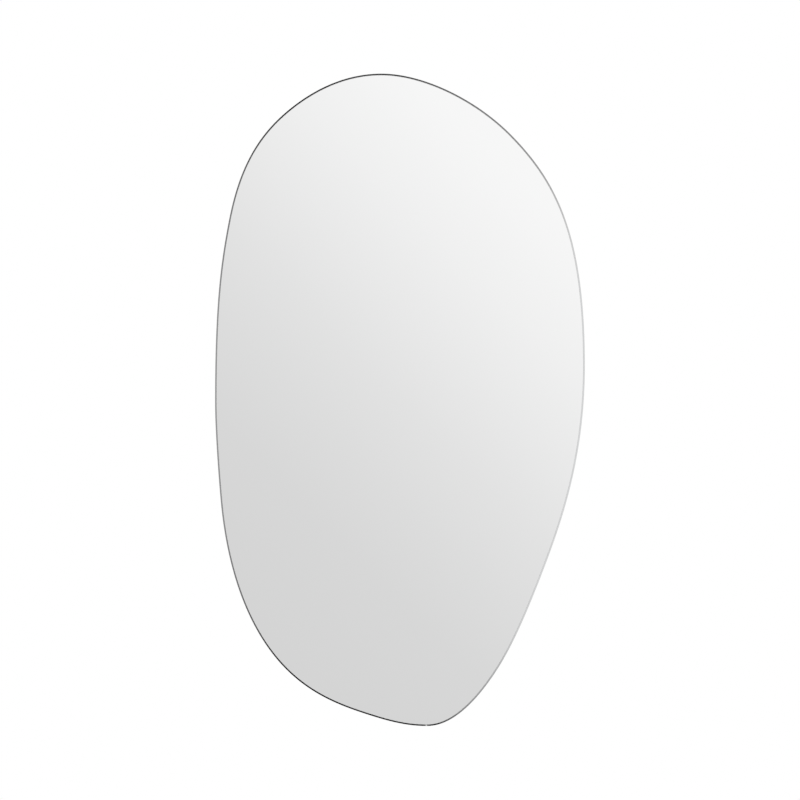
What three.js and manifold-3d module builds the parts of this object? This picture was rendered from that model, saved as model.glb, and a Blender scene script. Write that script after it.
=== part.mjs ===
// An irregular, pebble shaped wall mirror in a slim metal edge band, with its hanging hardware.
//
// Millimetres. +X is right and +Z is up as seen from the front, and the mirror faces -Y. The
// origin is in the plane of the wall that the bumpers rest against, behind the mirror's middle.

import * as THREE from "three";
import { mergeVertices } from "three/addons/utils/BufferGeometryUtils.js";
import Module from "manifold-3d";

const wasm = await Module();
wasm.setup();

// ---- Driving sizes ----

const mirrorWidth = 567;
const mirrorHeight = 1000;

const bandWall = 1.5;
const lipWidth = 2.7; // across the band's front, from the outline to the lip's inner edge
const lipThickness = 1.2;
const lipCrest = 0.3; // the flat strip between the lip's chamfer and its inner edge
const lipChamferDepth = 2;
const bandJointGap = 0.6;
const rearRecess = 9; // from the board's rear face back to the band's rear edge

const glassThickness = 4;
const glassArris = 0.4;
const glassGap = 0.3; // between the glass's edge and the band's wall
const lipGap = 0.3; // between the glass's face and the lip in front of it

const tapeThickness = 1.5;
const tapeWidth = 25;
const tapeMargin = 30; // from the outline to the nearest corner of a strip of tape
const tapeCount = 6;

const boardThickness = 9;
const boardGap = 1; // between the board's edge and the band

const weldGap = 0.3; // between the band's wall and what is spot welded to it
const jointPlateLength = 32;
const jointPlateThickness = 1.5;
const jointPlateClearance = 0.5; // from the plate to the board and to the band's rear edge

const tabCount = 8;
const tabLength = 22; // along the band
const tabReach = 20; // inwards over the board
const tabThickness = 1.5;
const tabBend = 1; // radius inside the tab's bend
const tabSetback = 0.5; // from the tab's top to the band's rear edge

const shankRadius = 1.75;
const shankClearance = 0.3;
const screwBite = 6.5; // how deep a screw goes into the board
const screwPoint = 2.5;
const screwHeadRadius = 3.5;
const screwHeadRim = 0.8;
const screwHeadHeight = 2.25;
const recessLength = 3.6;
const recessWidth = 0.9;
const recessDepth = 1.3;
const pilotSpare = 0.5; // how much deeper than the screw a pilot hole is

const hangerHeight = 230; // the rings' pivots above the middle of the board
const hangerSpacing = 260;
const strapThickness = 1.25;
const strapWidth = 16;
const strapCornerRadius = 5;
const strapScrewSpacing = 14;
const strapEndMargin = 6.5; // from the lower screw's centre to the strap's end
const wireRadius = 1.5;
const eyeClearance = 0.25; // between the wire and the rolled eye
const ringSidePlay = 0.6;
const ringCornerRadius = 3;
const ringSideLength = 4;
const ringButtGap = 0.4;
const ringToScrewHead = 1; // from the hanging ring to the upper screw's head

const bumperCount = 4;
const bumperInset = 45; // from the outline to a bumper's centre
const wallGap = 1; // from the band's rear edge to the wall that the bumpers touch
const bumperBaseRadius = 10;
const bumperTopRadius = 8.5;
const bumperFoot = 3;
const bumperChamfer = 1;
const bumperSeat = 4.5; // from the board to the screw's head inside the bumper
const bumperWellRadius = 4.5;

// ---- How finely curves are faceted ----

const outlineSteps = 260;
const screwSides = 12;
const bumperSides = 24;
const eyeSides = 16;
const wireSides = 8;
const ringSteps = 34;
const bendSteps = 3;

// ---- Levels along Y from the board's rear face, and radii, that follow from the sizes ----

const tapeFront = -boardThickness - tapeThickness;
const glassFront = tapeFront - glassThickness;
const bandFront = glassFront - lipGap - lipThickness;
const bandRear = rearRecess;
const bumperHeight = bandRear + wallGap;
const holeRadius = shankRadius + shankClearance;

// ---- Colours ----

const mirrorSilver = new THREE.MeshStandardMaterial({ color: 0xdfe1e2, roughness: 0.03, metalness: 1 });
const bandSteel = new THREE.MeshStandardMaterial({ color: 0x8b8c8e, roughness: 0.3, metalness: 1 });
const zincPlate = new THREE.MeshStandardMaterial({ color: 0xb4b7ba, roughness: 0.35, metalness: 1 });
const boardBrown = new THREE.MeshStandardMaterial({ color: 0xa98a66, roughness: 0.85, metalness: 0 });
const foamWhite = new THREE.MeshStandardMaterial({ color: 0xe6e4df, roughness: 0.9, metalness: 0 });
const rubberBlack = new THREE.MeshStandardMaterial({ color: 0x252526, roughness: 0.8, metalness: 0 });

// ---- The outline ----

// Nodes of the pebble outline, anticlockwise as seen from the front, starting at the lowest
// point. Places and handles are shares of half the width and half the height; run is the way
// the line goes through the node, and its handles reach behind and ahead along it.
const outlineNodes = [
  { at: [0.143, -1], run: [1, 0], behind: 0.106, ahead: 0.051 },
  { at: [0.529, -0.824], run: [1, 0.886], behind: 0.194, ahead: 0.087 },
  { at: [0.801, -0.483], run: [0.657, 1], behind: 0.148, ahead: 0.153 },
  { at: [1, 0.105], run: [0, 1], behind: 0.249, ahead: 0.398 },
  { at: [0.607, 0.809], run: [-1, 0.582], behind: 0.243, ahead: 0.195 },
  { at: [-0.1, 1], run: [-1, 0], behind: 0.223, ahead: 0.194 },
  { at: [-0.588, 0.895], run: [-1, -0.451], behind: 0.128, ahead: 0.16 },
  { at: [-0.923, 0.555], run: [-0.345, -1], behind: 0.174, ahead: 0.131 },
  { at: [-1, -0.007], run: [0, -1], behind: 0.306, ahead: 0.091 },
  { at: [-0.967, -0.323], run: [0.177, -1], behind: 0.059, ahead: 0.194 },
  { at: [-0.639, -0.812], run: [1, -0.615], behind: 0.19, ahead: 0.133 },
  { at: [-0.201, -0.96], run: [1, -0.187], behind: 0.156, ahead: 0.144 },
];

function scaled([x, z], share = 1) {
  return new THREE.Vector2((x * share * mirrorWidth) / 2, (z * share * mirrorHeight) / 2);
}

function pebblePath() {
  const first = scaled(outlineNodes[0].at);
  const path = new THREE.Path().moveTo(first.x, first.y);
  outlineNodes.forEach((node, i) => {
    const next = outlineNodes[(i + 1) % outlineNodes.length];
    const start = scaled(node.at);
    const end = scaled(next.at);
    const leaving = start.clone().add(scaled(node.run, node.ahead));
    const arriving = end.clone().sub(scaled(next.run, next.behind));
    path.bezierCurveTo(leaving.x, leaving.y, arriving.x, arriving.y, end.x, end.y);
  });
  return path;
}

const outline = pebblePath();
const outlineLength = outline.getLength();

// A point and the inward direction at a distance along the outline from its lowest point.
function outlineAt(distance) {
  const share = THREE.MathUtils.euclideanModulo(distance / outlineLength, 1);
  const along = outline.getTangent(share);
  return { point: outline.getPoint(share), inward: new THREE.Vector2(-along.y, along.x) };
}

function insetPoint(inset, distance) {
  const { point, inward } = outlineAt(distance);
  return point.addScaledVector(inward, inset);
}

// Points at an even inset from the outline, between two distances along it.
function insetLine(inset, from = 0, to = outlineLength) {
  const steps = Math.ceil((outlineSteps * (to - from)) / outlineLength);
  return Array.from({ length: steps + 1 }, (_, i) => insetPoint(inset, from + ((to - from) * i) / steps));
}

// The whole outline at an inset, as a closed shape.
function insetShape(inset) {
  return new THREE.Shape(insetLine(inset).slice(0, -1));
}

// A strip that follows the outline between two insets and two distances.
function stripShape(outerInset, innerInset, from, to) {
  const outer = insetLine(outerInset, from, to);
  const inner = insetLine(innerInset, from, to);
  return new THREE.Shape([...outer, ...inner.reverse()]);
}

// A flat curve in X and Z as a curve in space.
class UprightCurve extends THREE.Curve {
  constructor(pointAt) {
    super();
    this.pointAt = pointAt;
  }

  getPoint(share, target = new THREE.Vector3()) {
    const point = this.pointAt(share);
    return target.set(point.x, 0, point.y);
  }
}

function centreOfMass(points) {
  const centre = new THREE.Vector2();
  let doubleArea = 0;
  points.forEach((a, i) => {
    const b = points[(i + 1) % points.length];
    const cross = a.cross(b);
    doubleArea += cross;
    centre.addScaledVector(a.clone().add(b), cross);
  });
  return centre.divideScalar(3 * doubleArea);
}

// ---- Helpers for solids ----

const right = new THREE.Vector3(1, 0, 0);
const back = new THREE.Vector3(0, 1, 0);
const up = new THREE.Vector3(0, 0, 1);
const seenFromFront = new THREE.Matrix4().makeBasis(right, up, back.clone().negate());
const seenFromSide = new THREE.Matrix4().makeBasis(back, up, right);

// A shape drawn in X and Z, given a thickness from one Y level back to another.
function slab(shape, front, rear, options = {}) {
  const geometry = new THREE.ExtrudeGeometry(shape, { depth: rear - front, bevelEnabled: false, ...options });
  return geometry.applyMatrix4(seenFromFront).translate(0, rear, 0);
}

function lathe(profile, sides) {
  return new THREE.LatheGeometry(profile.map(([r, y]) => new THREE.Vector2(r, y)), sides);
}

function toSolid(geometry) {
  const bare = geometry.clone();
  bare.deleteAttribute("normal");
  bare.deleteAttribute("uv");
  const merged = mergeVertices(bare);
  const triVerts = new Uint32Array(merged.index.array);
  const vertProperties = merged.attributes.position.array;
  return new wasm.Manifold(new wasm.Mesh({ numProp: 3, vertProperties, triVerts }));
}

function toGeometry(solid) {
  const mesh = solid.getMesh();
  const geometry = new THREE.BufferGeometry();
  geometry.setAttribute("position", new THREE.BufferAttribute(mesh.vertProperties, 3));
  geometry.setIndex(new THREE.BufferAttribute(mesh.triVerts, 1));
  geometry.computeVertexNormals();
  return geometry;
}

// The geometry with other geometries cut out of it.
function cut(geometry, cutters) {
  return toGeometry(cutters.reduce((solid, cutter) => solid.subtract(toSolid(cutter)), toSolid(geometry)));
}

function common(geometry, other) {
  return toGeometry(toSolid(geometry).intersect(toSolid(other)));
}

// A round hole's cutter along Y, between two levels.
function holeCutter(x, z, from, to) {
  const length = to - from;
  const cylinder = new THREE.CylinderGeometry(holeRadius, holeRadius, length, screwSides);
  return cylinder.translate(x, from + length / 2, z);
}

// Everything is built from the board's rear face, which stands off the wall by the bumpers.
const mirror = new THREE.Group();
const assembly = new THREE.Group();
assembly.position.y = -bumperHeight;
mirror.add(assembly);

function addPiece(name, geometry, material, parent = assembly) {
  const mesh = new THREE.Mesh(geometry, material);
  mesh.name = name;
  parent.add(mesh);
  return mesh;
}

// ---- Where the fastened pieces go ----

// Distances along the outline, evenly spread and clear of the band's joint.
function spread(count) {
  return Array.from({ length: count }, (_, i) => ((i + 0.5) * outlineLength) / count);
}

// A tab lies along the chord of the band's wall, so its two ends bear on the wall.
const tabPlaces = spread(tabCount).map((distance) => {
  const [start, middle, end] = [-0.5, 0, 0.5].map((share) =>
    insetPoint(bandWall, distance + share * tabLength),
  );
  const along = end.clone().sub(start).normalize();
  const inward = new THREE.Vector2(-along.y, along.x);
  const sag = middle.clone().sub(start).dot(inward);
  return {
    place: middle.addScaledVector(inward, weldGap - sag),
    turn: Math.atan2(-inward.y, inward.x),
  };
});
const bumperPlaces = spread(bumperCount).map((distance) => insetPoint(bumperInset, distance));

const balance = centreOfMass(insetLine(0).slice(0, -1));
const hangers = [
  { side: "left", x: balance.x - hangerSpacing / 2 },
  { side: "right", x: balance.x + hangerSpacing / 2 },
];

const tabHoleReach = (tabReach + tabThickness) / 2;
const eyeBore = wireRadius + eyeClearance;
const eyeRadius = eyeBore + strapThickness;
const ringHalfWidth = strapWidth / 2 + ringSidePlay + ringCornerRadius;
const ringDepth = ringCornerRadius + ringSideLength + ringHalfWidth;
const upperScrewDrop = ringDepth + wireRadius + ringToScrewHead + screwHeadRadius;
const strapScrewDrops = [upperScrewDrop, upperScrewDrop + strapScrewSpacing];
const strapLength = upperScrewDrop + strapScrewSpacing + strapEndMargin;

// ---- The glass, the band and the board ----

const glassInset = bandWall + glassGap;
const glass = slab(insetShape(glassInset + glassArris), glassFront + glassArris, tapeFront - glassArris, {
  bevelEnabled: true,
  bevelThickness: glassArris,
  bevelSize: glassArris,
  bevelSegments: 1,
});
addPiece("mirror_glass", glass, mirrorSilver);

// The band's section, drawn with X forwards and Y outwards from the outline.
function bandSection() {
  const corners = [
    [bandRear, 0],
    [bandFront + lipChamferDepth, 0],
    [bandFront, lipWidth - lipCrest],
    [bandFront, lipWidth],
    [bandFront + lipThickness, lipWidth],
    [bandFront + lipThickness, bandWall],
    [bandRear, bandWall],
  ];
  return new THREE.Shape(corners.map(([y, inset]) => new THREE.Vector2(-y, -inset)));
}

const bandStart = bandJointGap / 2;
const bandRun = outlineLength - bandJointGap;
const bandPath = new UprightCurve((share) => outlineAt(bandStart + share * bandRun).point);
const band = new THREE.ExtrudeGeometry(bandSection(), { extrudePath: bandPath, steps: outlineSteps });
addPiece("edge_band", band, bandSteel);

const plateHalf = jointPlateLength / 2;
const plateInset = bandWall + weldGap;
const plateShape = stripShape(plateInset, plateInset + jointPlateThickness, -plateHalf, plateHalf);
const jointPlate = slab(plateShape, jointPlateClearance, bandRear - jointPlateClearance);
addPiece("band_joint_plate", jointPlate, zincPlate);

const pilotHoles = [];
const pilotFloor = -screwBite - pilotSpare;
tabPlaces.forEach(({ place, turn }) => {
  const x = place.x + tabHoleReach * Math.cos(turn);
  const z = place.y - tabHoleReach * Math.sin(turn);
  pilotHoles.push(holeCutter(x, z, pilotFloor, 1));
});
bumperPlaces.forEach(({ x, y }) => pilotHoles.push(holeCutter(x, y, pilotFloor, 1)));
hangers.forEach(({ x }) => {
  strapScrewDrops.forEach((drop) => pilotHoles.push(holeCutter(x, hangerHeight - drop, pilotFloor, 1)));
});
const board = slab(insetShape(bandWall + boardGap), -boardThickness, 0);
addPiece("backing_board", cut(board, pilotHoles), boardBrown);

// ---- Foam tape, in upright strips spread across the glass ----

// The lowest and highest points of a line of points at one X.
function reachAt(points, x) {
  const crossings = [];
  points.slice(1).forEach((b, i) => {
    const a = points[i];
    if ((a.x < x) !== (b.x < x)) crossings.push(a.y + ((b.y - a.y) * (x - a.x)) / (b.x - a.x));
  });
  return { low: Math.min(...crossings), high: Math.max(...crossings) };
}

const tapeField = insetLine(tapeMargin);
const tapeFieldLeft = Math.min(...tapeField.map((point) => point.x));
const tapeFieldRight = Math.max(...tapeField.map((point) => point.x));
const tapePitch = (tapeFieldRight - tapeFieldLeft) / tapeCount;

for (let i = 0; i < tapeCount; i++) {
  const x = tapeFieldLeft + tapePitch * (i + 0.5);
  const edges = [reachAt(tapeField, x - tapeWidth / 2), reachAt(tapeField, x + tapeWidth / 2)];
  const low = Math.max(edges[0].low, edges[1].low);
  const high = Math.min(edges[0].high, edges[1].high);
  const strip = new THREE.BoxGeometry(tapeWidth, tapeThickness, high - low);
  addPiece(`mounting_tape_${i + 1}`, strip, foamWhite).position.set(
    x,
    tapeFront + tapeThickness / 2,
    (low + high) / 2,
  );
}

// ---- Screws ----

// A pan head screw through something of the given thickness, its head's underside at Y = 0.
function screwGeometry(grip) {
  const length = grip + screwBite;
  const body = lathe(
    [
      [0, -length],
      [shankRadius, screwPoint - length],
      [shankRadius, 0],
      [screwHeadRadius, 0],
      [screwHeadRadius, screwHeadRim],
      [screwHeadRadius * 0.8, screwHeadHeight * 0.85],
      [screwHeadRadius * 0.5, screwHeadHeight],
      [0, screwHeadHeight],
    ],
    screwSides,
  );
  const slots = [0, Math.PI / 2].map((turn) =>
    new THREE.BoxGeometry(recessLength, 2 * recessDepth, recessWidth)
      .rotateY(turn)
      .translate(0, screwHeadHeight, 0),
  );
  return cut(body, slots);
}

const tabScrew = screwGeometry(tabThickness);
const strapScrew = screwGeometry(strapThickness);
const bumperScrew = screwGeometry(bumperSeat);

// ---- Angle tabs that hold the board in the band ----

// Drawn with X running inwards from the band and Y back from the board.
function tabGeometry() {
  const top = bandRear - tabSetback;
  const outerBend = tabBend + tabThickness;
  const profile = new THREE.Shape();
  profile.moveTo(outerBend, 0);
  profile.lineTo(tabReach, 0);
  profile.lineTo(tabReach, tabThickness);
  profile.lineTo(outerBend, tabThickness);
  profile.absarc(outerBend, outerBend, tabBend, -Math.PI / 2, -Math.PI, true);
  profile.lineTo(tabThickness, top);
  profile.lineTo(0, top);
  profile.lineTo(0, outerBend);
  profile.absarc(outerBend, outerBend, outerBend, Math.PI, 1.5 * Math.PI, false);
  const options = { depth: tabLength, bevelEnabled: false, curveSegments: bendSteps };
  const bent = new THREE.ExtrudeGeometry(profile, options).translate(0, 0, -tabLength / 2);
  return cut(bent, [holeCutter(tabHoleReach, 0, -1, tabThickness + 1)]);
}

const tab = tabGeometry();
tabPlaces.forEach(({ place, turn }, i) => {
  const seat = new THREE.Group();
  seat.position.set(place.x, 0, place.y);
  seat.rotation.y = turn;
  assembly.add(seat);
  addPiece(`band_tab_${i + 1}`, tab, zincPlate, seat);
  const screw = addPiece(`band_tab_screw_${i + 1}`, tabScrew, zincPlate, seat);
  screw.position.set(tabHoleReach, tabThickness, 0);
});

// ---- Hangers: a strap with a rolled eye, and the D-ring that turns in it ----

// The strap lies on the board from the eye downwards. The eye's bore runs along X.
function strapGeometry() {
  const curlEnd = Math.acos((eyeRadius - strapThickness) / eyeRadius);
  const profile = new THREE.Shape();
  profile.moveTo(0, -strapLength);
  profile.lineTo(0, 0);
  profile.absarc(eyeRadius, 0, eyeRadius, Math.PI, curlEnd - Math.PI, true);
  profile.lineTo(strapThickness, -strapLength);
  profile.holes.push(new THREE.Path().absarc(eyeRadius, 0, eyeBore, 0, 2 * Math.PI));
  const options = { depth: strapWidth, bevelEnabled: false, curveSegments: eyeSides / 2 };
  const bent = new THREE.ExtrudeGeometry(profile, options).translate(0, 0, -strapWidth / 2);
  const holes = strapScrewDrops.map((drop) => holeCutter(0, -drop, -1, strapThickness + 1));
  return common(cut(bent.applyMatrix4(seenFromSide), holes), strapPlan());
}

// The strap's outline on the board, with its lower corners rounded.
function strapPlan() {
  const half = strapWidth / 2;
  const cornerX = half - strapCornerRadius;
  const cornerZ = strapCornerRadius - strapLength;
  const plan = new THREE.Shape();
  plan.moveTo(half, eyeRadius);
  plan.lineTo(-half, eyeRadius);
  plan.absarc(-cornerX, cornerZ, strapCornerRadius, Math.PI, 1.5 * Math.PI, false);
  plan.absarc(cornerX, cornerZ, strapCornerRadius, 1.5 * Math.PI, 2 * Math.PI, false);
  return slab(plan, 0, 2 * eyeRadius, { curveSegments: bendSteps });
}

// The D-ring hanging from its pivot, with the wire's ends butted inside the eye.
function ringGeometry() {
  const barHalf = ringHalfWidth - ringCornerRadius;
  const bowTop = -ringCornerRadius - ringSideLength;
  const wire = new THREE.Path();
  wire.moveTo(ringButtGap / 2, 0);
  wire.lineTo(barHalf, 0);
  wire.absarc(barHalf, -ringCornerRadius, ringCornerRadius, Math.PI / 2, 0, true);
  wire.lineTo(ringHalfWidth, bowTop);
  wire.absarc(0, bowTop, ringHalfWidth, 0, -Math.PI, true);
  wire.lineTo(-ringHalfWidth, -ringCornerRadius);
  wire.absarc(-barHalf, -ringCornerRadius, ringCornerRadius, Math.PI, Math.PI / 2, true);
  wire.lineTo(-ringButtGap / 2, 0);
  const section = new THREE.Shape().absarc(0, 0, wireRadius, 0, 2 * Math.PI);
  const extrudePath = new UprightCurve((share) => wire.getPoint(share));
  return new THREE.ExtrudeGeometry(section, { extrudePath, steps: ringSteps, curveSegments: wireSides / 2 });
}

const strap = strapGeometry();
const ring = ringGeometry();
hangers.forEach(({ side, x }) => {
  const hanger = new THREE.Group();
  hanger.position.set(x, 0, hangerHeight);
  assembly.add(hanger);
  addPiece(`hanger_strap_${side}`, strap, zincPlate, hanger);
  addPiece(`hanger_ring_${side}`, ring, zincPlate, hanger).position.y = eyeRadius;
  ["upper", "lower"].forEach((level, i) => {
    const screw = addPiece(`hanger_screw_${side}_${level}`, strapScrew, zincPlate, hanger);
    screw.position.set(0, strapThickness, -strapScrewDrops[i]);
  });
});

// ---- Rubber bumpers, which rest against the wall ----

const bumper = lathe(
  [
    [holeRadius, 0],
    [bumperBaseRadius, 0],
    [bumperBaseRadius, bumperFoot],
    [bumperTopRadius, bumperHeight - bumperChamfer],
    [bumperTopRadius - bumperChamfer, bumperHeight],
    [bumperWellRadius, bumperHeight],
    [bumperWellRadius, bumperSeat],
    [holeRadius, bumperSeat],
    [holeRadius, 0],
  ],
  bumperSides,
);
bumperPlaces.forEach(({ x, y }, i) => {
  const foot = new THREE.Group();
  foot.position.set(x, 0, y);
  assembly.add(foot);
  addPiece(`wall_bumper_${i + 1}`, bumper, rubberBlack, foot);
  addPiece(`bumper_screw_${i + 1}`, bumperScrew, zincPlate, foot).position.y = bumperSeat;
});

export default mirror;
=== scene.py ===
import math

import bmesh
import bpy
from mathutils import Matrix, Vector


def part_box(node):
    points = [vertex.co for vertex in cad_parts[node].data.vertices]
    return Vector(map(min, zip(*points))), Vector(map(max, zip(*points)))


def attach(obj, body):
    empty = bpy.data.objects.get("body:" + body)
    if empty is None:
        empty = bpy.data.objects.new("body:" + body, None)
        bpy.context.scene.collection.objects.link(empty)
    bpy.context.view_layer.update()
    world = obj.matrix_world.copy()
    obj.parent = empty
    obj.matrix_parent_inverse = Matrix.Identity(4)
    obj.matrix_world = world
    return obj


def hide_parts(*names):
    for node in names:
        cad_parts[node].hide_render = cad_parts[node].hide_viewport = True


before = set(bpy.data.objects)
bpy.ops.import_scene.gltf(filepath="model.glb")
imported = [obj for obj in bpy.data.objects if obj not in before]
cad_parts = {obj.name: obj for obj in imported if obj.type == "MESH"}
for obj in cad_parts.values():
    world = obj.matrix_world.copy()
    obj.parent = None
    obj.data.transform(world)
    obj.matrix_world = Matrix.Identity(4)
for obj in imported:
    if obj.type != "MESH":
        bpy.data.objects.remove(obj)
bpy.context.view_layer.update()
print("frame loaded:", len(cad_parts), "nodes")

mm = 0.001
mergeWithin = 0.002 * mm  # corners closer than this become one
mostly = 0.9  # the share of a direction from which it counts as along an axis
nearEnd = 0.1  # how near a piece's end, in millimetres, an edge counts as at it

# the cutting tools that the pieces share
cutters = {
    "drillSides": 32,
    "ballSegments": 24,
    "ballRings": 12,
    "past": 1,  # how far a drill reaches past the sheet it goes through
}


# picking, editing and finishing pieces

def deselect():
    bpy.ops.object.select_all(action="DESELECT")


def pick(piece):
    deselect()
    piece.select_set(True)
    bpy.context.view_layer.objects.active = piece


def toEdit(piece, mode="FACE"):
    pick(piece)
    bpy.ops.object.mode_set(mode="EDIT")
    bpy.ops.mesh.select_mode(type=mode)
    bpy.ops.mesh.select_all(action="SELECT")


def toObject():
    bpy.ops.object.mode_set(mode="OBJECT")


def settle(piece):
    pick(piece)
    bpy.ops.object.transform_apply(location=True, rotation=True, scale=True)


# selects the faces whose middle and normal pass the test
def chooseFaces(piece, test):
    mesh = bmesh.from_edit_mesh(piece.data)
    for face in mesh.faces:
        face.select_set(bool(test(face.calc_center_median(), face.normal)))
    bmesh.update_edit_mesh(piece.data)


# selects the edges whose middle and direction pass the test
def chooseEdges(piece, test):
    bpy.ops.mesh.select_mode(type="EDGE")
    bpy.ops.mesh.select_all(action="DESELECT")
    mesh = bmesh.from_edit_mesh(piece.data)
    for edge in mesh.edges:
        start, end = edge.verts[0].co, edge.verts[1].co
        if test((start + end) / 2, (end - start).normalized()):
            edge.select_set(True)
    bmesh.update_edit_mesh(piece.data)


def extrudeBy(x, y, z):
    bpy.ops.mesh.extrude_region_move(TRANSFORM_OT_translate={"value": (x * mm, y * mm, z * mm)})


def extrudeEdgesBy(x, y, z):
    bpy.ops.mesh.extrude_edges_move(TRANSFORM_OT_translate={"value": (x * mm, y * mm, z * mm)})


# turns anticlockwise as seen from the axis's tip, which is the spin operator's negative
def spinBy(degrees, steps, centre, axis):
    middle = [value * mm for value in centre]
    bpy.ops.mesh.spin(steps=steps, angle=-math.radians(degrees), center=middle, axis=axis)


# merges doubles, closes open ends and turns the faces outwards
def closeUp(piece):
    toEdit(piece, "VERT")
    bpy.ops.mesh.remove_doubles(threshold=mergeWithin)
    bpy.ops.mesh.delete_loose(use_faces=False)
    bpy.ops.mesh.select_all(action="SELECT")
    bpy.ops.mesh.fill_holes(sides=0)
    bpy.ops.mesh.select_all(action="SELECT")
    bpy.ops.mesh.normals_make_consistent(inside=False)
    toObject()


# a closed line in millimetres: a circle with one corner for each point, each moved to its place
def pointLoop(name, points, filled=False):
    deselect()
    fill = "NGON" if filled else "NOTHING"
    bpy.ops.mesh.primitive_circle_add(vertices=len(points), radius=mm, fill_type=fill)
    piece = bpy.context.object
    piece.name = name
    for corner, point in zip(piece.data.vertices, points):
        corner.co = Vector(point) * mm
    return piece


# a closed profile in X and Y with its corners rounded
def roundedProfile(name, points, radius, segments):
    piece = pointLoop(name, [(x, y, 0) for x, y in points], filled=True)
    toEdit(piece, "VERT")
    bpy.ops.mesh.bevel(offset=radius * mm, segments=segments, affect="VERTICES", clamp_overlap=True)
    bpy.ops.mesh.select_all(action="SELECT")
    bpy.ops.mesh.delete(type="ONLY_FACE")
    toObject()
    return piece


# a profile in X and Y turned once round Y
def spinRound(piece, steps):
    toEdit(piece, "EDGE")
    spinBy(360, steps, (0, 0, 0), (0, 1, 0))
    toObject()
    closeUp(piece)


def cutAway(piece, cutter):
    modifier = piece.modifiers.new("cut", "BOOLEAN")
    modifier.operation = "DIFFERENCE"
    modifier.solver = "EXACT"
    modifier.object = cutter
    pick(piece)
    bpy.ops.object.modifier_apply(modifier=modifier.name)
    bpy.data.objects.remove(cutter)


def roundEdges(piece, width, segments, sharpest=60):
    modifier = piece.modifiers.new("rounding", "BEVEL")
    modifier.width = width * mm
    modifier.segments = segments
    modifier.limit_method = "ANGLE"
    modifier.angle_limit = math.radians(sharpest)
    pick(piece)
    bpy.ops.object.modifier_apply(modifier=modifier.name)


def smooth(piece, sharpest=30):
    pick(piece)
    bpy.ops.object.shade_smooth_by_angle(angle=math.radians(sharpest))


# a drill along Y, between two levels
def drill(radius, x, z, front, rear):
    deselect()
    bpy.ops.mesh.primitive_cylinder_add(
        vertices=cutters["drillSides"],
        radius=radius * mm,
        depth=(rear - front) * mm,
        location=(x * mm, (front + rear) / 2 * mm, z * mm),
        rotation=(math.pi / 2, 0, 0),
    )
    settle(bpy.context.object)
    return bpy.context.object


# a round hole through a sheet whose front face lies at Y nought
def holeThrough(piece, radius, x, z, thickness):
    cutAway(piece, drill(radius, x, z, -cutters["past"], thickness + cutters["past"]))


# a ball for a dimple, its place in metres
def ballCutter(radius, place):
    deselect()
    bpy.ops.mesh.primitive_uv_sphere_add(
        segments=cutters["ballSegments"],
        ring_count=cutters["ballRings"],
        radius=radius * mm,
        location=place,
    )
    settle(bpy.context.object)
    return bpy.context.object


# a block with its sides in millimetres and its middle's place in metres
def blockCutter(place, *sides):
    deselect()
    bpy.ops.mesh.primitive_cube_add(size=mm, location=place)
    block = bpy.context.object
    block.scale = sides
    settle(block)
    return block


# a copy with its own mesh, turned about Y and moved into place
def copyTo(source, name, place, turn=0.0):
    pick(source)
    bpy.ops.object.duplicate(linked=False)
    piece = bpy.context.object
    piece.name = name
    piece.matrix_world = Matrix.Translation(place) @ Matrix.Rotation(turn, 4, "Y")
    settle(piece)
    return piece


def dress(piece, materials, body, slot, *nodes):
    piece.data.materials.clear()
    for material in materials:
        piece.data.materials.append(material)
    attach(piece, body)
    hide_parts(*nodes)


def middleOf(node):
    low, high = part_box(node)
    return (low + high) / 2


# material building

# the spans that noise mostly keeps to
wideSpan = (0.3, 0.7)
narrowSpan = (0.35, 0.65)


def addNode(tree, kind, sockets=None, **settings):
    node = tree.nodes.new(kind)
    for key, value in settings.items():
        setattr(node, key, value)
    for key, value in (sockets or {}).items():
        if isinstance(value, bpy.types.NodeSocket):
            tree.links.new(value, node.inputs[key])
        else:
            node.inputs[key].default_value = value
    return node


def newGroup(name, inputs, outputs):
    group = bpy.data.node_groups.new(name, "ShaderNodeTree")
    for title, kind, value in inputs:
        socket = group.interface.new_socket(title, in_out="INPUT", socket_type=kind)
        if value is not None:
            socket.default_value = value
    for title in outputs:
        group.interface.new_socket(title, in_out="OUTPUT", socket_type="NodeSocketFloat")
    given = addNode(group, "NodeGroupInput").outputs
    return group, given, addNode(group, "NodeGroupOutput").inputs


def placeGroup(tree, group, where, values):
    sockets = {"Vector": where, **values}
    return addNode(tree, "ShaderNodeGroup", sockets, node_tree=group).outputs


def rangeOf(tree, value, low, high, toLow, toHigh):
    sockets = {"Value": value, "From Min": low, "From Max": high, "To Min": toLow, "To Max": toHigh}
    return addNode(tree, "ShaderNodeMapRange", sockets).outputs["Result"]


def mathOf(tree, operation, *values):
    sockets = dict(enumerate(values))
    return addNode(tree, "ShaderNodeMath", sockets, operation=operation).outputs[0]


def timesOf(tree, first, second):
    return mathOf(tree, "MULTIPLY", first, second)


def noiseOf(tree, where, scale, detail=2.0, roughness=0.5):
    sockets = {"Vector": where, "Scale": scale, "Detail": detail, "Roughness": roughness}
    return addNode(tree, "ShaderNodeTexNoise", sockets).outputs


# from the first colour to the second, each a socket or a red, green and blue
def mixOf(tree, factor, first, second):
    node = addNode(tree, "ShaderNodeMix", {0: factor}, data_type="RGBA")
    for number, colour in ((6, first), (7, second)):
        if isinstance(colour, bpy.types.NodeSocket):
            tree.links.new(colour, node.inputs[number])
        else:
            node.inputs[number].default_value = (*colour, 1)
    return node.outputs[2]


def newMaterial(name, constants):
    material = bpy.data.materials.new(name)
    material.use_nodes = True
    tree = material.node_tree
    shader = tree.nodes["Principled BSDF"]
    for key, value in constants.items():
        shader.inputs[key].default_value = value
    where = addNode(tree, "ShaderNodeTexCoord").outputs["Object"]
    return material, tree, shader, where


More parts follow.
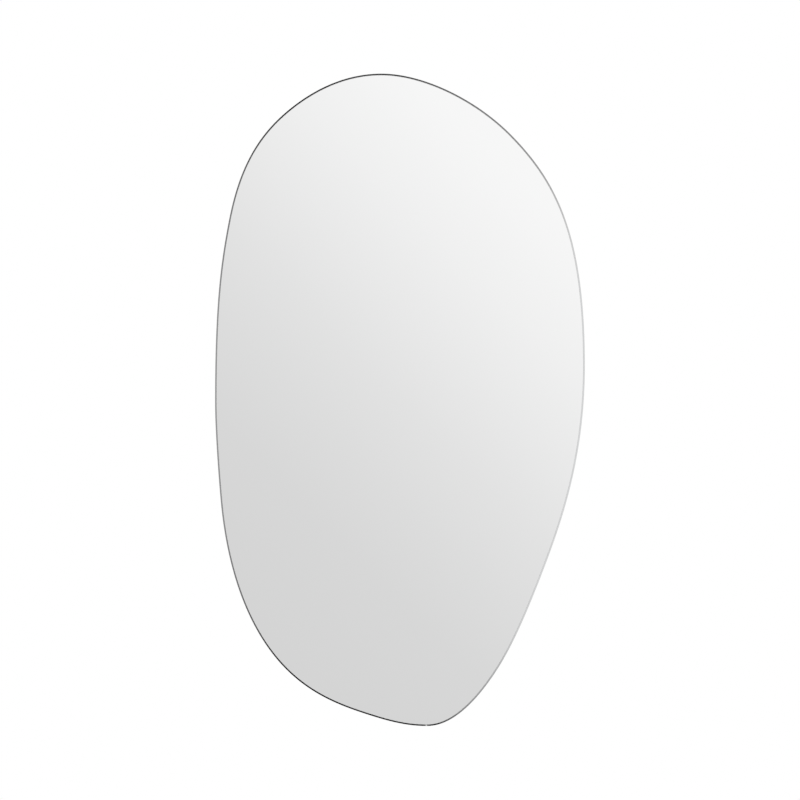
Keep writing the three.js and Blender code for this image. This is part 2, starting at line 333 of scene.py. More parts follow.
def feed(tree, node, sockets):
    for key, value in sockets.items():
        tree.links.new(value, node.inputs[key])


def bumpOf(tree, shader, height, strength, depth):
    sockets = {"Height": height, "Strength": strength, "Distance": depth * mm}
    feed(tree, shader, {"Normal": addNode(tree, "ShaderNodeBump", sockets).outputs["Normal"]})


# fine grain that can be drawn out along an axis, and a coarse drift
def grainAndDrift():
    group, given, result = newGroup(
        "grain and drift",
        [
            ("Vector", "NodeSocketVector", None),
            ("Stretch", "NodeSocketVector", (1, 1, 1)),
            ("Fine", "NodeSocketFloat", 900.0),
            ("Coarse", "NodeSocketFloat", 12.0),
        ],
        ["Grain", "Drift"],
    )
    sockets = {0: given["Vector"], 1: given["Stretch"]}
    drawnOut = addNode(group, "ShaderNodeVectorMath", sockets, operation="MULTIPLY").outputs[0]
    fine = noiseOf(group, drawnOut, given["Fine"], detail=4.0, roughness=0.6)
    coarse = noiseOf(group, given["Vector"], given["Coarse"], detail=3.0)
    group.links.new(fine["Fac"], result["Grain"])
    group.links.new(coarse["Fac"], result["Drift"])
    return group


# thin scratches that wander, as a mask
def fineScratches():
    group, given, result = newGroup(
        "fine scratches",
        [
            ("Vector", "NodeSocketVector", None),
            ("Scale", "NodeSocketFloat", 60.0),
            ("Width", "NodeSocketFloat", 0.03),
        ],
        ["Mask"],
    )
    bent = noiseOf(group, given["Vector"], given["Scale"])["Color"]
    sockets = {"Vector": bent, "Scale": 9.0}
    lines = addNode(group, "ShaderNodeTexVoronoi", sockets, feature="DISTANCE_TO_EDGE")
    thin = rangeOf(group, lines.outputs["Distance"], 0.0, given["Width"], 1.0, 0.0)
    broken = noiseOf(group, given["Vector"], scale=35.0)["Fac"]
    gaps = rangeOf(group, broken, 0.5, 0.62, 0.0, 1.0)
    group.links.new(timesOf(group, thin, gaps), result["Mask"])
    return group


# loose dust, thickest on what faces up
def settledDust():
    group, given, result = newGroup(
        "settled dust",
        [("Vector", "NodeSocketVector", None), ("Amount", "NodeSocketFloat", 0.2)],
        ["Mask"],
    )
    specks = noiseOf(group, given["Vector"], scale=420.0, detail=6.0, roughness=0.75)["Fac"]
    patches = noiseOf(group, given["Vector"], scale=25.0)["Fac"]
    facing = addNode(group, "ShaderNodeNewGeometry").outputs["Normal"]
    height = addNode(group, "ShaderNodeSeparateXYZ", {0: facing}).outputs["Z"]
    lying = rangeOf(group, height, -0.4, 1.0, 0.25, 1.0)
    scattered = rangeOf(group, timesOf(group, specks, patches), 0.2, 0.45, 0.0, 1.0)
    settled = timesOf(group, scattered, lying)
    group.links.new(timesOf(group, settled, given["Amount"]), result["Mask"])
    return group


# bare or rubbed edges, from how sharply the surface turns
def rubbedEdges():
    group, given, result = newGroup(
        "rubbed edges",
        [("Vector", "NodeSocketVector", None), ("Amount", "NodeSocketFloat", 0.5)],
        ["Mask"],
    )
    turning = addNode(group, "ShaderNodeNewGeometry").outputs["Pointiness"]
    sharp = rangeOf(group, turning, 0.52, 0.6, 0.0, 1.0)
    uneven = noiseOf(group, given["Vector"], scale=160.0, detail=4.0)["Fac"]
    patchy = rangeOf(group, uneven, 0.35, 0.6, 0.2, 1.0)
    rubbed = timesOf(group, sharp, patchy)
    group.links.new(timesOf(group, rubbed, given["Amount"]), result["Mask"])
    return group


grain = grainAndDrift()
scratches = fineScratches()
dust = settledDust()
rubbing = rubbedEdges()

# the outline, as in the solid model

pebble = {
    "width": 567,
    "height": 1000,
    "skin": 0.1,  # how far inside the solid outline the band's surface lies
    "stepsPerArc": 40,
    # place, direction, and the handles' reach behind and ahead, in shares of half the size
    "nodes": [
        ((0.143, -1), (1, 0), 0.106, 0.051),
        ((0.529, -0.824), (1, 0.886), 0.194, 0.087),
        ((0.801, -0.483), (0.657, 1), 0.148, 0.153),
        ((1, 0.105), (0, 1), 0.249, 0.398),
        ((0.607, 0.809), (-1, 0.582), 0.243, 0.195),
        ((-0.1, 1), (-1, 0), 0.223, 0.194),
        ((-0.588, 0.895), (-1, -0.451), 0.128, 0.16),
        ((-0.923, 0.555), (-0.345, -1), 0.174, 0.131),
        ((-1, -0.007), (0, -1), 0.306, 0.091),
        ((-0.967, -0.323), (0.177, -1), 0.059, 0.194),
        ((-0.639, -0.812), (1, -0.615), 0.19, 0.133),
        ((-0.201, -0.96), (1, -0.187), 0.156, 0.144),
    ],
}


def pebbleVector(pair, share=1.0):
    across = pair[0] * share * pebble["width"] / 2
    up = pair[1] * share * pebble["height"] / 2
    return Vector((across, up, 0)) * mm


# a Bezier circle, cut to twelve points, each moved to its node, and stood upright
def pebbleCurve(name):
    deselect()
    radius = pebble["width"] / 2 * mm
    bpy.ops.curve.primitive_bezier_circle_add(radius=radius, rotation=(math.pi / 2, 0, 0))
    curve = bpy.context.object
    curve.name = name
    bpy.ops.object.mode_set(mode="EDIT")
    bpy.ops.curve.select_all(action="SELECT")
    bpy.ops.curve.subdivide(number_cuts=2)
    toObject()
    curve.data.resolution_u = pebble["stepsPerArc"]
    points = curve.data.splines[0].bezier_points
    for point, (place, run, behind, ahead) in zip(points, pebble["nodes"]):
        point.handle_left_type = point.handle_right_type = "FREE"
        point.co = pebbleVector(place)
        point.handle_left = point.co - pebbleVector(run, behind)
        point.handle_right = point.co + pebbleVector(run, ahead)
    return curve


def outlineMesh(name):
    curve = pebbleCurve(name)
    pick(curve)
    bpy.ops.object.convert(target="MESH")
    piece = bpy.context.object
    settle(piece)
    return piece


# points along the outline, with the distance to each from its lowest point
def walkOutline():
    guide = outlineMesh("outlineGuide")
    points = [corner.co.copy() for corner in guide.data.vertices]
    bpy.data.objects.remove(guide)
    reached = [0.0]
    for start, end in zip(points, points[1:] + points[:1]):
        reached.append(reached[-1] + (end - start).length)
    return points + points[:1], reached


outlinePoints, outlineReach = walkOutline()
outlineLength = outlineReach[-1]
print("outline:", round(outlineLength, 4), "m round")


# the direction into the outline from a run along it
def inwardOf(run):
    return Vector((-run.z, 0, run.x))


# the point at a distance along the outline, moved inwards
def insetPoint(inset, distance):
    distance %= outlineLength
    step = next(i for i, reach in enumerate(outlineReach[1:]) if reach >= distance)
    start, end = outlinePoints[step], outlinePoints[step + 1]
    run = (end - start).normalized()
    return start + run * (distance - outlineReach[step]) + inwardOf(run) * inset * mm


# a plate with the outline's shape, between two levels of Y in metres
def pebblePlate(name, inset, front, rear):
    piece = outlineMesh(name)
    toEdit(piece, "EDGE")
    bpy.ops.mesh.edge_face_add()
    bpy.ops.mesh.select_mode(type="FACE")
    bpy.ops.mesh.select_all(action="SELECT")
    bpy.ops.mesh.inset(thickness=inset * mm, depth=0, use_even_offset=True)
    bpy.ops.mesh.select_all(action="INVERT")
    bpy.ops.mesh.delete(type="FACE")
    bpy.ops.mesh.select_all(action="SELECT")
    bpy.ops.transform.translate(value=(0, front, 0))
    extrudeBy(0, (rear - front) / mm, 0)
    toObject()
    closeUp(piece)
    return piece


# the edge band: a lipped section swept round the outline, then sawn through at its joint

band = {
    "wall": 1.5,
    "lipWidth": 2.7,
    "lipThickness": 1.2,
    "lipCrest": 0.12,
    "lipChamfer": 2,
    "cornerRadius": 0.12,
    "jointGap": 0.6,
    "sawOver": (4, 2),  # how much taller and wider than the band the saw is
    "brush": (0.06, 1.0, 0.06),  # how closely the brush lines lie along each axis
    "dark": (0.62, 0.623, 0.63),
    "light": (0.78, 0.782, 0.787),
    "warm": (0.67, 0.665, 0.655),
    "rough": (0.12, 0.24),
    "scuff": 0.12,  # added roughness in a scratch
    "glintAndGroundHalf": 3.8,  # how far the lighter patch runs either side of the joint: a painted highlight, with the ground finish's roughness
    # the patch's lighter colour and lower metal are a painted highlight at the joint
    "paintedGlintTone": (0.8, 0.8, 0.8),
    "glintAndGroundMetal": 0.84,
    "groundRough": 0.35,  # added roughness of the ground finish
}


def brushedBand(jointPlace):
    material, tree, shader, where = newMaterial("brushed steel band", {"Metallic": 1.0})
    lines = {"Stretch": band["brush"], "Fine": 2600.0, "Coarse": 9.0}
    streaks = placeGroup(tree, grain, where, lines)
    marks = placeGroup(tree, scratches, where, {"Scale": 45.0, "Width": 0.02})
    brushed = mixOf(tree, streaks["Grain"], band["dark"], band["light"])
    clouds = rangeOf(tree, streaks["Drift"], *narrowSpan, 0.0, 0.35)
    drifting = mixOf(tree, clouds, brushed, band["warm"])
    # a lighter patch round the joint: its tone and lower metal are a painted highlight, its added
    # roughness is the ground finish
    sockets = {0: where, 1: jointPlace}
    away = addNode(tree, "ShaderNodeVectorMath", sockets, operation="DISTANCE").outputs["Value"]
    reach = band["glintAndGroundHalf"] * mm
    ground = rangeOf(tree, away, reach, reach * 0.4, 0.0, 1.0)
    polish = rangeOf(tree, streaks["Grain"], *wideSpan, *band["rough"])
    scuffed = mathOf(tree, "ADD", polish, timesOf(tree, marks["Mask"], band["scuff"]))
    feed(tree, shader, {
        "Base Color": mixOf(tree, ground, drifting, band["paintedGlintTone"]),
        "Metallic": rangeOf(tree, ground, 0.0, 1.0, 1.0, band["glintAndGroundMetal"]),
        "Roughness": mathOf(tree, "ADD", scuffed, timesOf(tree, ground, band["groundRough"])),
    })
    bumpOf(tree, shader, streaks["Grain"], strength=0.12, depth=0.02)
    return material


# a thin block across the band, which leaves the gap between its two ends
def jointSaw(joint, depth):
    taller, wider = band["sawOver"]
    place = (joint.x, -depth / 2 * mm, joint.z)
    return blockCutter(place, band["jointGap"], depth + taller, band["lipWidth"] + wider)


def makeBand():
    low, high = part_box("edge_band")
    front, rear = -low.y / mm, -high.y / mm
    corners = [  # inset from the outline, and distance in front of the wall
        (pebble["skin"], rear),
        (pebble["skin"], front - band["lipChamfer"]),
        (band["lipWidth"] - band["lipCrest"], front),
        (band["lipWidth"], front),
        (band["lipWidth"], front - band["lipThickness"]),
        (band["wall"], front - band["lipThickness"]),
        (band["wall"], rear),
    ]
    corners = [(-inset, level) for inset, level in corners]
    section = roundedProfile("bandSection", corners, band["cornerRadius"], segments=3)
    pick(section)
    bpy.ops.object.convert(target="CURVE")
    section = bpy.context.object
    curve = pebbleCurve("steel_edge_band")
    curve.data.dimensions = "3D"
    curve.data.twist_mode = "Z_UP"
    curve.data.bevel_mode = "OBJECT"
    curve.data.bevel_object = section
    pick(curve)
    bpy.ops.object.convert(target="MESH")
    piece = bpy.context.object
    bpy.data.objects.remove(section)
    settle(piece)
    closeUp(piece)
    joint = insetPoint(band["lipWidth"] / 2, 0)
    cutAway(piece, jointSaw(joint, front - rear))
    smooth(piece, sharpest=25)
    joint.y = low.y
    dress(piece, [brushedBand(joint)], "mirror", "band", "edge_band")
    print("band:", len(piece.data.polygons), "faces")


makeBand()

# the mirror glass: silvered face, ground edge and painted back

glass = {
    "inset": 1.8,
    "arris": 0.4,
    "silver": ((0.948, 0.95, 0.949), (0.952, 0.952, 0.952)),
    "silverDust": (0.8, 0.8, 0.78),
    "silverRough": (0.0, 0.012),
    "edge": ((0.24, 0.4, 0.33), (0.34, 0.5, 0.43)),
    "edgeFrost": (0.55, 0.68, 0.62),
    "edgeRough": (0.25, 0.5),
    "paint": ((0.2, 0.225, 0.23), (0.26, 0.28, 0.285)),
    "paintRough": (0.35, 0.55),
}


def silveredFace():
    constants = {"Metallic": 1.0, "Specular IOR Level": 0.5}
    material, tree, shader, where = newMaterial("silvered glass", constants)
    clouds = {"Stretch": (1.0, 1.0, 0.35), "Fine": 30.0, "Coarse": 4.0}
    veil = placeGroup(tree, grain, where, clouds)
    specks = placeGroup(tree, dust, where, {"Amount": 0.015})
    silver = mixOf(tree, veil["Drift"], *glass["silver"])
    feed(tree, shader, {
        "Base Color": mixOf(tree, specks["Mask"], silver, glass["silverDust"]),
        "Roughness": rangeOf(tree, veil["Grain"], 0.45, 0.75, *glass["silverRough"]),
    })
    return material


def groundEdge():
    constants = {"IOR": 1.52, "Coat Weight": 0.3}
    material, tree, shader, where = newMaterial("ground glass edge", constants)
    wheelMarks = {"Stretch": (0.05, 1.0, 0.05), "Fine": 3000.0, "Coarse": 20.0}
    lines = placeGroup(tree, grain, where, wheelMarks)
    green = mixOf(tree, lines["Drift"], *glass["edge"])
    feed(tree, shader, {
        "Base Color": mixOf(tree, lines["Grain"], green, glass["edgeFrost"]),
        "Roughness": rangeOf(tree, lines["Grain"], *wideSpan, *glass["edgeRough"]),
    })
    bumpOf(tree, shader, lines["Grain"], strength=0.2, depth=0.02)
    return material


def backPaint():
    constants = {"Specular IOR Level": 0.4}
    material, tree, shader, where = newMaterial("mirror back paint", constants)
    peel = placeGroup(tree, grain, where, {"Fine": 700.0, "Coarse": 15.0})
    feed(tree, shader, {
        "Base Color": mixOf(tree, peel["Drift"], *glass["paint"]),
        "Roughness": rangeOf(tree, peel["Grain"], *wideSpan, *glass["paintRough"]),
    })
    bumpOf(tree, shader, peel["Grain"], strength=0.25, depth=0.03)
    return material


def makeGlass():
    low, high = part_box("mirror_glass")
    piece = pebblePlate("silvered_glass", glass["inset"] + pebble["skin"], low.y, high.y)
    roundEdges(piece, glass["arris"], segments=1)
    smooth(piece, sharpest=25)
    finishes = [silveredFace(), groundEdge(), backPaint()]
    dress(piece, finishes, "mirror", "mirror", "mirror_glass")
    flat = 0.95  # the share of a normal from which its face is the front or the back
    for face in piece.data.polygons:
        face.material_index = 0 if face.normal.y < -flat else 2 if face.normal.y > flat else 1
    print("glass:", len(piece.data.polygons), "faces")


makeGlass()

# the backing board, with a pilot hole behind each screw

board = {
    "inset": 2.5,
    "chamfer": 0.6,
    "drill": 2.05,
    "drillDepth": 7.0,
    "fibres": ((0.31, 0.195, 0.108), (0.5, 0.345, 0.205)),
    "clouds": (0.46, 0.32, 0.2),
    "pressed": (0.36, 0.235, 0.135),
    "fleck": (0.14, 0.08, 0.04),
    "sawn": (0.2, 0.115, 0.06),
    "rough": (0.62, 0.85),
}


def fibreboard():
    material, tree, shader, where = newMaterial("fibreboard", {"Specular IOR Level": 0.25})
    drawn = {"Stretch": (1.0, 1.0, 0.35), "Fine": 1400.0, "Coarse": 18.0}
    fibres = placeGroup(tree, grain, where, drawn)
    matted = placeGroup(tree, grain, where, {"Fine": 260.0, "Coarse": 3.5})
    brown = mixOf(tree, fibres["Grain"], *board["fibres"])
    cloudy = rangeOf(tree, fibres["Drift"], *narrowSpan, 0.0, 0.35)
    clouded = mixOf(tree, cloudy, brown, board["clouds"])
    denser = rangeOf(tree, matted["Drift"], *wideSpan, 0.0, 0.3)
    pressed = mixOf(tree, denser, clouded, board["pressed"])
    flecks = addNode(tree, "ShaderNodeTexVoronoi", {"Vector": where, "Scale": 520.0})
    dark = rangeOf(tree, flecks.outputs["Distance"], 0.12, 0.3, 1.0, 0.0)
    rare = rangeOf(tree, matted["Grain"], 0.52, 0.6, 0.0, 0.55)
    flecked = mixOf(tree, timesOf(tree, dark, rare), pressed, board["fleck"])
    facing = addNode(tree, "ShaderNodeNewGeometry").outputs["Normal"]
    across = addNode(tree, "ShaderNodeSeparateXYZ", {0: facing}).outputs["Y"]
    sawn = rangeOf(tree, mathOf(tree, "ABSOLUTE", across), 0.5, 0.9, 0.6, 0.0)
    feed(tree, shader, {
        "Base Color": mixOf(tree, sawn, flecked, board["sawn"]),
        "Roughness": rangeOf(tree, fibres["Grain"], *wideSpan, *board["rough"]),
    })
    bumpOf(tree, shader, fibres["Grain"], strength=0.3, depth=0.06)
    return material


def makeBoard():
    low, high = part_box("backing_board")
    piece = pebblePlate("fibreboard_back", board["inset"] + pebble["skin"], low.y, high.y)
    roundEdges(piece, board["chamfer"], segments=2)
    rear = high.y / mm
    depth, past = board["drillDepth"], cutters["past"]
    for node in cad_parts:
        if "_screw_" in node:
            middle = middleOf(node) / mm
            cutAway(piece, drill(board["drill"], middle.x, middle.z, rear - depth, rear + past))
    smooth(piece, sharpest=25)
    dress(piece, [fibreboard()], "mirror", "board", "backing_board")
    print("board:", len(piece.data.polygons), "faces")


makeBoard()

# zinc plated steel: tabs, joint plate, straps, rings and screws

zinc = {
    "sheet": {
        "film": ((0.6, 0.62, 0.66), (0.66, 0.63, 0.56)),
        "rough": (0.26, 0.44),
        "bump": 0.1,
    },
    "wire": {
        "film": ((0.66, 0.67, 0.7), (0.68, 0.66, 0.62)),
        "rough": (0.16, 0.3),
        "bump": 0.04,
    },
    "screw": {
        "film": ((0.62, 0.63, 0.66), (0.66, 0.61, 0.5)),
        "rough": (0.2, 0.36),
        "bump": 0.06,
    },
}

zincWear = {
    "spangle": (0.5, 0.51, 0.53),
    "bare": (0.82, 0.82, 0.82),
    "scratch": (0.84, 0.84, 0.84),
    "grime": (0.4, 0.38, 0.35),
    "grimeRough": 0.6,  # added roughness under the grime
}


def zincPlated(kind):
    look = zinc[kind]
    material, tree, shader, where = newMaterial("zinc plated " + kind, {"Metallic": 1.0})
    film = placeGroup(tree, grain, where, {"Fine": 1500.0, "Coarse": 90.0})
    marks = placeGroup(tree, scratches, where, {"Scale": 70.0, "Width": 0.03})
    bare = placeGroup(tree, rubbing, where, {"Amount": 0.5})
    grime = placeGroup(tree, dust, where, {"Amount": 0.25})
    tinted = mixOf(tree, rangeOf(tree, film["Drift"], *narrowSpan, 0.0, 1.0), *look["film"])
    crystals = rangeOf(tree, film["Grain"], *wideSpan, 0.0, 0.3)
    spangled = mixOf(tree, crystals, tinted, zincWear["spangle"])
    rubbed = mixOf(tree, bare["Mask"], spangled, zincWear["bare"])
    scratched = mixOf(tree, timesOf(tree, marks["Mask"], 0.5), rubbed, zincWear["scratch"])
    satin = rangeOf(tree, film["Grain"], *wideSpan, *look["rough"])
    dulling = timesOf(tree, grime["Mask"], zincWear["grimeRough"])
    feed(tree, shader, {
        "Base Color": mixOf(tree, grime["Mask"], scratched, zincWear["grime"]),
        "Roughness": mathOf(tree, "ADD", satin, dulling),
    })
    bumpOf(tree, shader, film["Grain"], look["bump"], depth=0.03)
    return material


zincSheet, zincWire, zincScrew = (zincPlated(kind) for kind in zinc)

# pan head screws with a cross recess, the head's underside at the origin and the shank along -Y

screws = {
    "bite": 6.5,
    "sides": 32,
    "head": [
        (0, 2.25), (1.1, 2.21), (2.0, 2.02), (2.75, 1.62),
        (3.25, 1.05), (3.48, 0.55), (3.42, 0.14), (3.2, 0),
    ],
    "threadRadius": 1.72,
    "coreRadius": 1.25,
    "plainShank": 1.5,  # the most that is left without a thread below the head
    "pitch": 1.0,
    "thread": (0.3, 0.6, 0.1),  # where its root starts and ends and its crest starts, in pitches
    "pointLength": 2.5,
    "tip": 0.2,
    "recess": (3.6, 0.95, 1.3),  # length, width and depth
    "recessTaper": 0.6,
    "recessProud": 0.4,  # how far the recess's cutter stands above the head
    "turnStep": 0.77,  # each screw stops at a different turn
}


def crossBar(turn):
    length, width, depth = screws["recess"]
    height = depth + screws["recessProud"]
    top = screws["head"][0][1] + screws["recessProud"]
    bar = blockCutter((0, (top - height / 2) * mm, 0), length, height, width)
    toEdit(bar)
    chooseFaces(bar, lambda middle, normal: normal.y < -mostly)
    bpy.ops.transform.resize(value=(screws["recessTaper"], 1, screws["recessTaper"]))
    toObject()
    bar.matrix_world = Matrix.Rotation(turn, 4, "Y")
    settle(bar)
    return bar


def makeScrew(name, grip):
    length = grip + screws["bite"]
    outer, core = screws["threadRadius"], screws["coreRadius"]
    pitch, tip = screws["pitch"], screws["tip"]
    rootStart, rootEnd, crestStart = (share * pitch for share in screws["thread"])
    level = -min(grip, screws["plainShank"])
    profile = list(screws["head"]) + [(outer, 0), (outer, level)]
    while level - pitch > screws["pointLength"] - length:
        profile += [(core, level - rootStart), (core, level - rootEnd)]
        level -= pitch
        profile.append((outer, level + crestStart))
    profile += [(core, level - tip), (tip, tip - length), (0, -length)]
    screw = pointLoop(name, [(radius, y, 0) for radius, y in profile])
    spinRound(screw, screws["sides"])
    for turn in (0, math.pi / 2):
        cutAway(screw, crossBar(turn))
    smooth(screw, sharpest=32)
    return screw


def placeScrew(source, node, number):
    low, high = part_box(node)
    middle = (low + high) / 2
    place = (middle.x, high.y - screws["head"][0][1] * mm, middle.z)
    screw = copyTo(source, "zinc_" + node, place, number * screws["turnStep"])
    dress(screw, [zincScrew], "mirror", "hardware", node)


# angle tabs along the chord of the band's wall, drawn with X inwards, Y back and Z along the band

tabs = {
    "count": 8,
    "length": 22,
    "reach": 20,
    "rise": 8.5,
    "thickness": 1.5,
    "bend": 1,
    "bendSteps": 8,
    "weldGap": 0.3,
    "endCorner": 4,
    "topCorner": 2,
    "easing": 0.2,
    "hole": 2.05,
    "dimple": (2.6, 0.35, 5.5),  # ball's radius, depth, and distance to either side
    "dimpleRise": 0.6,  # its height in shares of the rise
}


def makeTab():
    wall, rise, half = tabs["thickness"], tabs["rise"], tabs["length"] / 2
    bendCentre = wall + tabs["bend"]
    corners = [(0, -half), (wall, -half), (wall, half), (0, half)]
    tab = pointLoop("tab", [(x, rise, z) for x, z in corners])
    toEdit(tab, "EDGE")
    extrudeEdgesBy(0, bendCentre - rise, 0)
    spinBy(90, tabs["bendSteps"], (bendCentre, bendCentre, 0), (0, 0, 1))
    extrudeEdgesBy(tabs["reach"] - bendCentre, 0, 0)
    toObject()
    closeUp(tab)
    toEdit(tab, "EDGE")
    end, top = (tabs["reach"] - nearEnd) * mm, (rise - nearEnd) * mm
    chooseEdges(tab, lambda middle, run: middle.x > end and abs(run.y) > mostly)
    bpy.ops.mesh.bevel(offset=tabs["endCorner"] * mm, segments=8)
    chooseEdges(tab, lambda middle, run: middle.y > top and abs(run.x) > mostly)
    bpy.ops.mesh.bevel(offset=tabs["topCorner"] * mm, segments=5)
    toObject()
    roundEdges(tab, tabs["easing"], segments=2, sharpest=50)
    holeThrough(tab, tabs["hole"], (tabs["reach"] + wall) / 2, 0, wall)
    radius, depth, aside = tabs["dimple"]
    x, y = (wall + radius - depth) * mm, rise * tabs["dimpleRise"] * mm
    for side in (-aside, aside):
        cutAway(tab, ballCutter(radius, (x, y, side * mm)))
    smooth(tab)
    return tab


def placeTabs():
    source = makeTab()
    screw = makeScrew("tabScrew", tabs["thickness"])
    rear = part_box("backing_board")[1].y
    half = tabs["length"] / 2 * mm
    for number in range(tabs["count"]):
        distance = (number + 0.5) * outlineLength / tabs["count"]
        steps = (-half, 0, half)
        start, middle, end = (insetPoint(band["wall"], distance + step) for step in steps)
        inward = inwardOf((end - start).normalized())
        place = middle + inward * (tabs["weldGap"] * mm - (middle - start).dot(inward))
        place.y = rear
        node = "band_tab_" + str(number + 1)
        tab = copyTo(source, "zinc_" + node, place, math.atan2(-inward.z, inward.x))
        dress(tab, [zincSheet], "mirror", "hardware", node)
        placeScrew(screw, "band_tab_screw_" + str(number + 1), number)
    bpy.data.objects.remove(source)
    bpy.data.objects.remove(screw)
    print("tabs and their screws:", tabs["count"])


placeTabs()

# the plate behind the band's joint, from the solid, with its edges eased and two weld dimples

jointPlate = {
    "easing": 0.25,
    "dimple": (2.6, 0.35, 9),  # ball's radius, depth, and distance to either side
    "above": 20,  # where the look down for the plate's surface starts, from its middle
}


def makeJointPlate():
    piece = copyTo(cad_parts["band_joint_plate"], "zinc_band_joint_plate", (0, 0, 0))
    for key in list(piece.keys()):
        if key.startswith("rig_"):
            del piece[key]
    toEdit(piece, "VERT")
    bpy.ops.mesh.remove_doubles(threshold=mergeWithin)
    bpy.ops.mesh.select_all(action="SELECT")
    bpy.ops.mesh.dissolve_limited(angle_limit=math.radians(1))
    toObject()
    roundEdges(piece, jointPlate["easing"], segments=2)
    middle = middleOf("band_joint_plate")
    radius, depth, aside = jointPlate["dimple"]
    for side in (-aside, aside):
        above = Vector((middle.x + side * mm, middle.y, middle.z + jointPlate["above"] * mm))
        found, surface, normal, face = piece.ray_cast(above, Vector((0, 0, -1)))
        if found:
            cutAway(piece, ballCutter(radius, surface + normal * (radius - depth) * mm))
    smooth(piece)
    dress(piece, [zincSheet], "mirror", "hardware", "band_joint_plate")
    print("joint plate:", len(piece.data.polygons), "faces")


makeJointPlate()

# hangers: a strap with a rolled eye, and the D-ring that turns in it

hanger = {
    "strapWidth": 16,
    "strapInset": 0.05,  # how far inside the solid each side of the strap lies
    "strapThickness": 1.25,
    "strapCorner": 5,
    "easing": 0.22,
    "eyeRadius": 3.0,
    "rollDegrees": 300,
    "rollSteps": 30,
    "hole": 2.05,
    "wireRadius": 1.5,
    "wireSides": 24,
    "ringHalfWidth": 11.6,
    "ringCorner": 3,
    "cornerSteps": 10,
    "ringSide": 4,
    "bowSteps": 36,
    "buttGap": 0.4,
}


def makeStrap(length, drops):
    half, sheet = hanger["strapWidth"] / 2 - hanger["strapInset"], hanger["strapThickness"]
    corners = [(-half, 0), (half, 0), (half, sheet), (-half, sheet)]
    strap = pointLoop("strap", [(x, y, -length) for x, y in corners])
    toEdit(strap, "EDGE")
    extrudeEdgesBy(0, 0, length)
    spinBy(-hanger["rollDegrees"], hanger["rollSteps"], (0, hanger["eyeRadius"], 0), (1, 0, 0))
    toObject()
    closeUp(strap)
    toEdit(strap, "EDGE")
    end = (nearEnd - length) * mm
    chooseEdges(strap, lambda middle, run: middle.z < end and abs(run.y) > mostly)
    bpy.ops.mesh.bevel(offset=hanger["strapCorner"] * mm, segments=10)
    toObject()
    roundEdges(strap, hanger["easing"], segments=2, sharpest=50)
    for drop in drops:
        holeThrough(strap, hanger["hole"], 0, -drop, sheet)
    smooth(strap)
    return strap


def makeRing():
    wire, sides = hanger["wireRadius"], hanger["wireSides"]
    reach, corner, side = hanger["ringHalfWidth"], hanger["ringCorner"], hanger["ringSide"]
    steps, butt = hanger["cornerSteps"], hanger["buttGap"] / 2
    turns = [2 * math.pi * step / sides for step in range(sides)]
    section = [(butt, wire * math.cos(turn), wire * math.sin(turn)) for turn in turns]
    ring = pointLoop("ring", section)
    toEdit(ring, "EDGE")
    extrudeEdgesBy(reach - corner - butt, 0, 0)
    spinBy(90, steps, (reach - corner, 0, -corner), (0, 1, 0))
    extrudeEdgesBy(0, 0, -side)
    spinBy(180, hanger["bowSteps"], (0, 0, -corner - side), (0, 1, 0))
    extrudeEdgesBy(0, 0, side)
    spinBy(90, steps, (corner - reach, 0, -corner), (0, 1, 0))
    extrudeEdgesBy(reach - corner - butt, 0, 0)
    toObject()
    closeUp(ring)
    smooth(ring, sharpest=40)
    return ring


def placeHangers():
    ring = makeRing()
    screw = makeScrew("strapScrew", hanger["strapThickness"])
    for side in ("left", "right"):
        low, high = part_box("hanger_strap_" + side)
        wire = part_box("hanger_ring_" + side)
        place = Vector(((low.x + high.x) / 2, low.y, wire[1].z - hanger["wireRadius"] * mm))
        screwNodes = ["hanger_screw_" + side + "_" + level for level in ("upper", "lower")]
        drops = [(place.z - middleOf(node).z) / mm for node in screwNodes]
        strap = makeStrap((place.z - low.z) / mm, drops)
        strap.name = "zinc_hanger_strap_" + side
        strap.matrix_world = Matrix.Translation(place)
        settle(strap)
        dress(strap, [zincSheet], "mirror", "hardware", "hanger_strap_" + side)
        pivot = place + Vector((0, hanger["eyeRadius"] * mm, 0))
        copy = copyTo(ring, "zinc_hanger_ring_" + side, pivot)
        dress(copy, [zincWire], "ring_" + side, "hardware", "hanger_ring_" + side)
        for number, node in enumerate(screwNodes):
            placeScrew(screw, node, number + len(side))
        print("hanger", side, "pivot:", [round(value, 4) for value in pivot])
    bpy.data.objects.remove(ring)
    bpy.data.objects.remove(screw)


placeHangers()

# rubber bumpers, each with its screw down a well

bumpers = {
    "count": 4,
    "sides": 64,
    "seat": 4.5,
    "corner": 0.5,
    # radius, and distance from the board
    "profile": [
        (2.05, 0), (10, 0), (10, 3), (8.6, 9), (7.6, 10), (4.5, 10), (4.5, 4.5), (2.05, 4.5),
    ],
    "black": ((0.018, 0.018, 0.019), (0.034, 0.034, 0.035)),
    "worn": (0.075, 0.075, 0.077),
    "grime": (0.3, 0.28, 0.25),
    "rough": (0.5, 0.75),
}


def mouldedRubber():
    material, tree, shader, where = newMaterial("moulded rubber", {"Specular IOR Level": 0.35})
    skin = placeGroup(tree, grain, where, {"Fine": 2400.0, "Coarse": 120.0})
    worn = placeGroup(tree, rubbing, where, {"Amount": 0.5})
    grime = placeGroup(tree, dust, where, {"Amount": 0.35})
    black = mixOf(tree, skin["Drift"], *bumpers["black"])
    rubbed = mixOf(tree, worn["Mask"], black, bumpers["worn"])
    feed(tree, shader, {
        "Base Color": mixOf(tree, grime["Mask"], rubbed, bumpers["grime"]),
        "Roughness": rangeOf(tree, skin["Grain"], *wideSpan, *bumpers["rough"]),
    })
    bumpOf(tree, shader, skin["Grain"], strength=0.35, depth=0.04)
    return material


